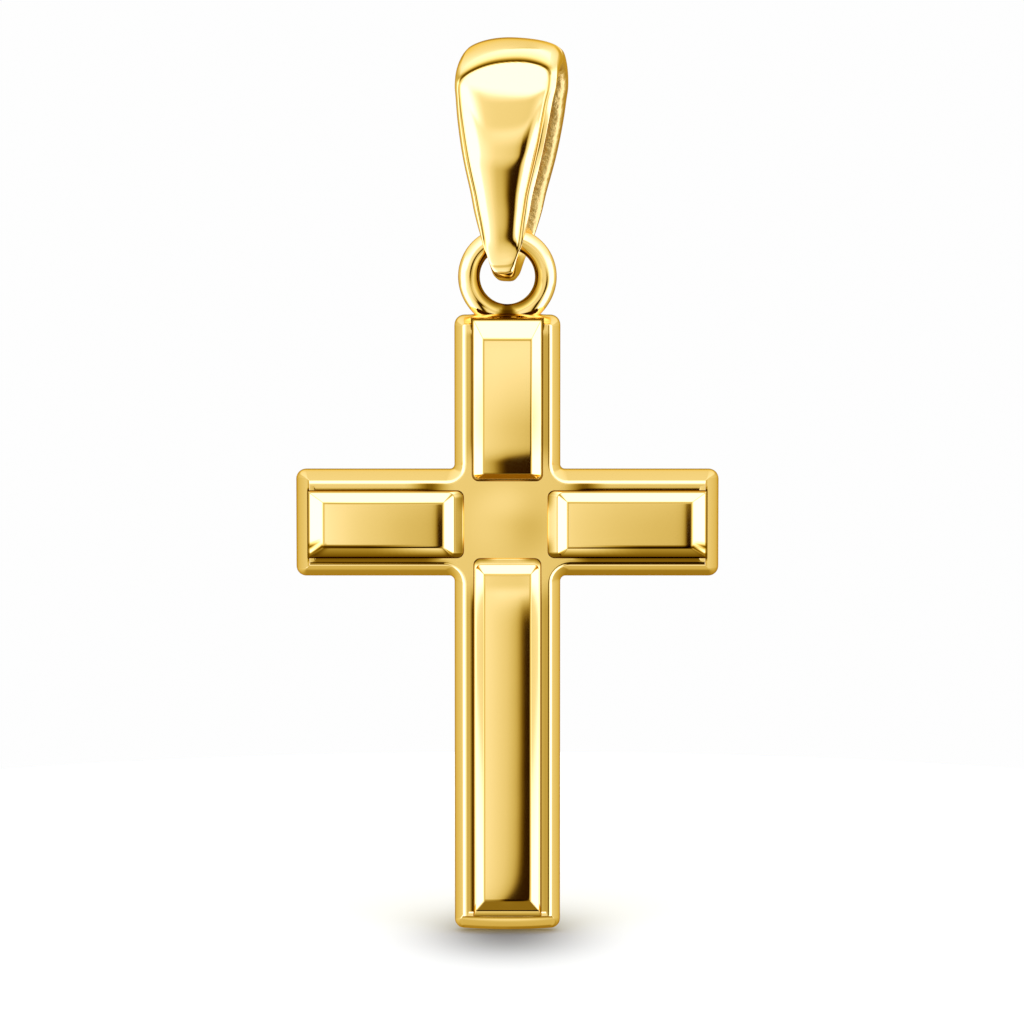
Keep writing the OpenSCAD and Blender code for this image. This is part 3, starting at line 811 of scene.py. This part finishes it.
# Hand work evens out the outer line: each point becomes the mean of its neighbours, weighted by a bell.
# The tip and the crown keep their shape
bell = np.exp(-(np.arange(-EVEN, EVEN + 1) / 0.45 / EVEN) ** 2)
padded = np.concatenate([2 * outer_line[:1] - outer_line[EVEN:0:-1], outer_line,
                         2 * outer_line[-1:] - outer_line[-2:-2 - EVEN:-1]])
evened = np.stack([np.convolve(c, bell / bell.sum(), "valid") for c in padded.T], 1)
evening = smooth((outer_line[:, 1] + 1.1) / 0.6) * smooth((CROWN_Z - 0.35 - outer_line[:, 1]) / 1.2)
outer_line = outer_line + (evened - outer_line) * evening[:, None]
level = (outer_line[:, 1] - TIP_Z) / BAIL_H
widths = flowing(WIDENING, 4)
half_w = (TIP_W + (BAIL_W - TIP_W) * np.interp(level, widths[:, 0], widths[:, 1])) / 2
shift = SLOT_SHIFT * np.sin(np.pi * np.clip(inner_line[:, 1] / SEAT_Z, 0, 1))
# Round a section: the outer face from right to left, close together at the groove, then the inner. The
# groove follows the sample at GROOVE_AT, so the share of the half width is stretched on both sides of it
half_panel = half_w[:, None] - BORDER * smooth((half_w[:, None] - 0.3) / 0.7)
groove_share = half_panel / half_w[:, None]
groove_in, groove_out = GROOVE_AT - 0.1, GROOVE_AT + 0.06
half_s = np.concatenate([
    np.linspace(0, groove_in, 26)[1:-1], np.linspace(groove_in, groove_out, 25),
    1 - (1 - groove_out) * (1 - np.sin(np.linspace(0, np.pi / 2, 9)))[1:]])
outer_t = np.concatenate([half_s[::-1], [0], -half_s])
outer_s = np.sign(outer_t) * np.where(
    np.abs(outer_t) < GROOVE_AT, np.abs(outer_t) / GROOVE_AT * groove_share,
    groove_share + (np.abs(outer_t) - GROOVE_AT) / (1 - GROOVE_AT) * (1 - groove_share))
inner_a = np.linspace(np.pi, 2 * np.pi, 34)[1:-1]
ROUND = len(outer_t) + len(inner_a)
outer_power = np.interp(level, *OUTER_POWER)[:, None]
inner_power = np.interp(level, *INNER_POWER)[:, None]
share_s = np.concatenate([outer_s, powered(np.cos(inner_a), inner_power)], 1)
bulk = np.concatenate([(1 - np.abs(outer_s) ** (2 / outer_power)) ** (outer_power / 2),
                       powered(np.sin(inner_a), inner_power)], 1)
across = half_w[:, None] * share_s
through = (1 + bulk) / 2
is_outer = np.arange(ROUND) < len(outer_t)
# Length along the outer line from the top of the crown, and distance inside the panel's edge, where
# the nearer of side and arch counts with the corner between them rounded
steps = np.linalg.norm(np.diff(outer_line, axis=0), axis=1)
from_top = np.append(np.cumsum(steps[::-1])[::-1], 0)[:, None]
to_side = half_panel - np.abs(across)
to_arch = (from_top - ARCH - ARCH_FALL * np.minimum(np.abs(across) / half_panel, 1) ** 2.6
           + ARCH_TILT * across / half_panel)
inside = -np.log(np.exp(-9 * np.clip(to_side, -3, 3)) + np.exp(-9 * np.clip(to_arch, -3, 3))) / 9 + 0.03
fading = smooth((level - 0.1) / 0.08)[:, None]
bulge_s = np.clip(across / half_panel, -1, 1)
bulge = math.radians(1) * half_panel * (np.where(
    bulge_s < 0, BULGE[0] * (1 - np.abs(bulge_s) ** 3),
    BULGE[0] - BULGE[1] * bulge_s ** 2 - (BULGE[0] - BULGE[1]) * bulge_s ** 8) - BULGE_SUNK * BULGE[0])
arched = smooth((to_side - to_arch) / 0.4 + 0.5)
growing = smooth((from_top - 1.5) / 3.4) * smooth((level[:, None] - 0.02) / 0.25)
sloping = smooth((from_top - 0.3) / 1.5) * smooth(level[:, None] / 0.12)
to_ledge = outer_line[:, 1:] - LEDGE_Z
ledge = np.exp(-(to_ledge / LEDGE_R) ** 2) * smooth((0.9 - np.abs(share_s)) / 0.3)
bead = np.exp(-((to_ledge + BEAD_BELOW) / BEAD_R) ** 2) * smooth((1.0 - np.abs(share_s)) / 0.4)
relief_out = is_outer * (
    fading * (-GROOVE_D * np.exp(-(inside / GROOVE_R) ** 2)
              - math.tan(math.radians(BORDER_FALL)) * np.maximum(-to_side, 0)
              + bulge * growing * smooth(inside / 0.12 + 0.5) * smooth(inside / 0.5 + 0.5))
    - math.tan(math.radians(SLOPE)) * (across - SLOPE_AT) * sloping * bulk
    - LEDGE_D * ledge + BEAD_H * bead)
# Shade is painted in the groove and on the ledge, and most of it along the arch, above which it fades out
above = np.minimum(inside + 0.04, 0)
arc_shade = 0.62 * np.exp(-(above / 0.11) ** 2) + 0.3 * np.exp(-(above / 0.34) ** 2)
arc_shade *= smooth(0.5 - inside / 0.05)
side_shade = 0.55 * np.exp(-(inside / 0.045) ** 2)
panel_shade = is_outer * np.maximum(
    fading * (side_shade + (arc_shade - side_shade) * arched), 0.45 * ledge)
# The crown is arched across too, from this height on and over this much, and falls further to the left
CROWN_FROM = 4.9
CROWN_OVER = 1.7
LEFT_FALL = 0.33
RIGHT_FALL = 0.17
crown_share = smooth((outer_line[:, 1:] - CROWN_FROM) / CROWN_OVER)
drop = crown_share * across ** 2 / BAIL_HALF ** 2 * np.where(across < 0, LEFT_FALL, RIGHT_FALL)


def leaf(side, raised):
    """The sections of one leaf: between the inner and outer line, each a rounded shape whose
    squareness grows towards the crown, raised outwards by the given height."""
    inner_y = side * inner_line[:, 0] - shift
    outwards = np.stack([side * outer_line[:, 0] - inner_y, outer_line[:, 1] - inner_line[:, 1]], 1)
    unit = outwards / np.linalg.norm(outwards, axis=1, keepdims=True)
    y_leaf = inner_y[:, None] + outwards[:, :1] * through + unit[:, :1] * raised
    z_leaf = inner_line[:, 1:] + outwards[:, 1:] * through + unit[:, 1:] * raised
    return np.stack([across, y_leaf, z_leaf - drop], -1)


front, back = leaf(-1, relief_out), leaf(1, np.zeros_like(relief_out))
sections = np.concatenate([front, back[-2:0:-1]])
rows = len(sections)
i, j = np.meshgrid(np.arange(rows), np.arange(ROUND), indexing="ij")
next_i, next_j = (i + 1) % rows, (j + 1) % ROUND
quads = np.stack([i * ROUND + j, i * ROUND + next_j, next_i * ROUND + next_j, next_i * ROUND + j],
                 -1).reshape(-1, 4)
points = sections.reshape(-1, 3) - [0, 0, SEAT_Z]
corner = points[np.concatenate([quads[:, :3], quads[:, [0, 2, 3]]])]
if np.einsum("ij,ij->", corner[:, 0], np.cross(corner[:, 1], corner[:, 2])) < 0:
    quads = quads[:, ::-1]
turned, leaned = math.radians(-BAIL_TURN), math.radians(BAIL_LEAN)
x = points[:, 0] * math.cos(turned) - points[:, 1] * math.sin(turned)
y = points[:, 0] * math.sin(turned) + points[:, 1] * math.cos(turned)
z = -x * math.sin(leaned) + points[:, 2] * math.cos(leaned)
x = x * math.cos(leaned) + points[:, 2] * math.sin(leaned)
points = np.stack([x, y, z], 1)
# The front leaf carries the painted shade; the back leaf has none
bail_shade = np.concatenate([panel_shade, np.zeros_like(panel_shade[-2:0:-1])]).ravel()
skin = smooth((0.25 - bulk) / 0.5) * ~is_outer * smooth((level[:, None] - 0.14) / 0.1)
skin = np.concatenate([skin, skin[-2:0:-1]]).ravel()
# The skin of the casting: how much rougher it is, its duller colour, how many grains there are to a
# metre, and how high they are in metres
SKIN_ROUGH = 0.25
SKIN_COLOUR = (0.74, 0.51, 0.15)
GRAINS = 6000
GRAIN_H = 0.00003
bail_gold = gold("bail_gold")
bail_tree = bail_gold.node_tree
bail_face = bail_tree.nodes["Principled BSDF"]
cast = bail_tree.nodes.new("ShaderNodeAttribute")
cast.attribute_name = "skin"
grain = bail_tree.nodes.new("ShaderNodeTexNoise")
grain.inputs["Scale"].default_value = GRAINS
grain.inputs["Detail"].default_value = 3
bail_tree.links.new(bail_tree.nodes["place"].outputs["Object"], grain.inputs["Vector"])
polished = bail_face.inputs["Roughness"].links[0].from_socket
rough = math_node(bail_tree, "MULTIPLY_ADD", cast.outputs["Fac"], SKIN_ROUGH, polished)
bail_tree.links.new(rough, bail_face.inputs["Roughness"])
dull = bail_tree.nodes.new("ShaderNodeMix")
dull.data_type = "RGBA"
dull.inputs[7].default_value = (*SKIN_COLOUR, 1)
bail_tree.links.new(cast.outputs["Fac"], dull.inputs[0])
bail_tree.links.new(bail_face.inputs["Base Color"].links[0].from_socket, dull.inputs[6])
bail_tree.links.new(dull.outputs[2], bail_face.inputs["Base Color"])
grains = math_node(bail_tree, "MULTIPLY", grain.outputs["Fac"], GRAIN_H)
grains = math_node(bail_tree, "MULTIPLY", grains, cast.outputs["Fac"])
bail_relief = bail_tree.nodes["relief"].inputs["Height"]
grained = math_node(bail_tree, "ADD", bail_relief.links[0].from_socket, grains)
bail_tree.links.new(grained, bail_relief)
bail = piece("bail_casting", [(points, quads, np.zeros((0, 3), int), bail_shade)], (0, 0, 0), bail_gold)
bail.data.attributes.new("skin", "FLOAT", "POINT").data.foreach_set("value", skin.astype(np.float32))
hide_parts("bail")
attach(bail, "bail")
